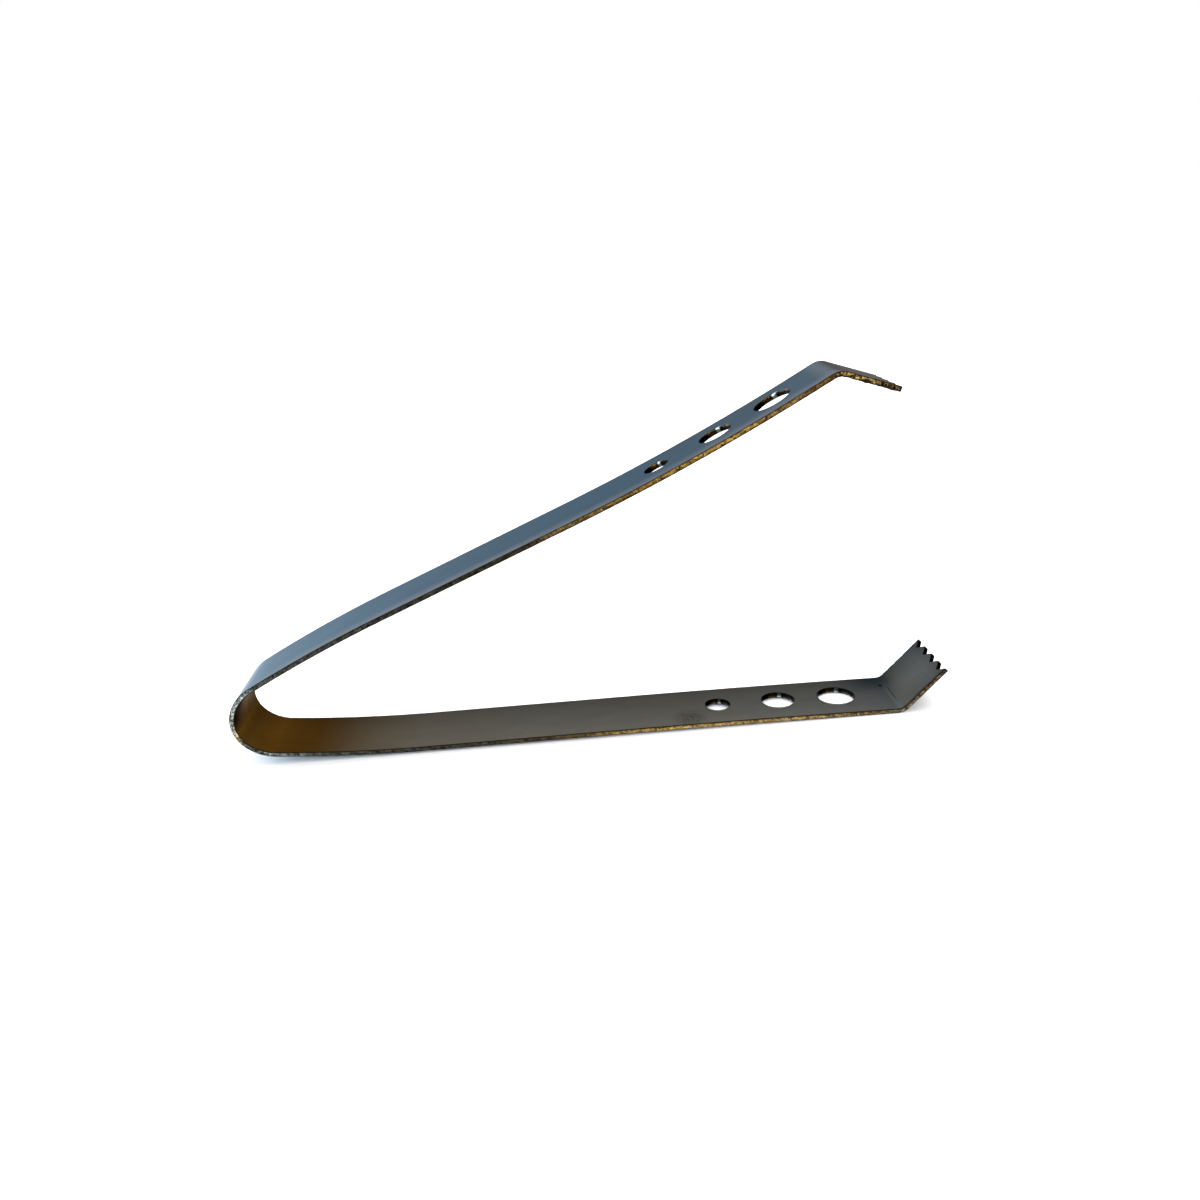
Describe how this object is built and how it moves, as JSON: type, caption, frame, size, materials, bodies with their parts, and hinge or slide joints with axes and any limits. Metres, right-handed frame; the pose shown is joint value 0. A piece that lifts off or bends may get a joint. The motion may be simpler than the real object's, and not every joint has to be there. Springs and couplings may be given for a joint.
{
  "type": "spring tongs",
  "caption": "Spring tongs bent from a single strip of steel, with a round bow, arms drilled with graduated holes, and inward claws with V-cut teeth.",
  "frame": {"origin": "centre of the bottom of the bounding box, with the tongs lying on the lower arm", "axes": "+X along the lower arm from the bow to the claws, +Y across the strip, +Z from the lower arm up to the upper arm"},
  "size_m": [0.1694, 0.018, 0.0824],
  "materials": {
    "strip_steel": "rolled sheet, satin, with a sheared edge"
  },
  "bodies": {
    "lower_arm": {"lower_arm": "strip_steel", "lower_claw": "strip_steel"},
    "bow": {"spring_bow": "strip_steel"},
    "upper_arm": {"upper_arm": "strip_steel", "upper_claw": "strip_steel"}
  },
  "joints": [
    {"name": "lower_flex", "type": "hinge", "parent": "lower_arm", "child": "bow", "pos_m": [-0.06626, 0, 0.00212], "axis": [0, 1, 0], "range_deg": [-3, 12.7], "stiffness_Nm_per_rad": 8.1},
    {"name": "upper_flex", "type": "hinge", "parent": "bow", "child": "upper_arm", "pos_m": [-0.07059, 0, 0.02386], "axis": [0, 1, 0], "range_deg": [-3, 12.7], "stiffness_Nm_per_rad": 8.1}
  ],
  "couplings": [
    {"joint": "upper_flex", "follows": "lower_flex", "ratio": 1}
  ]
}
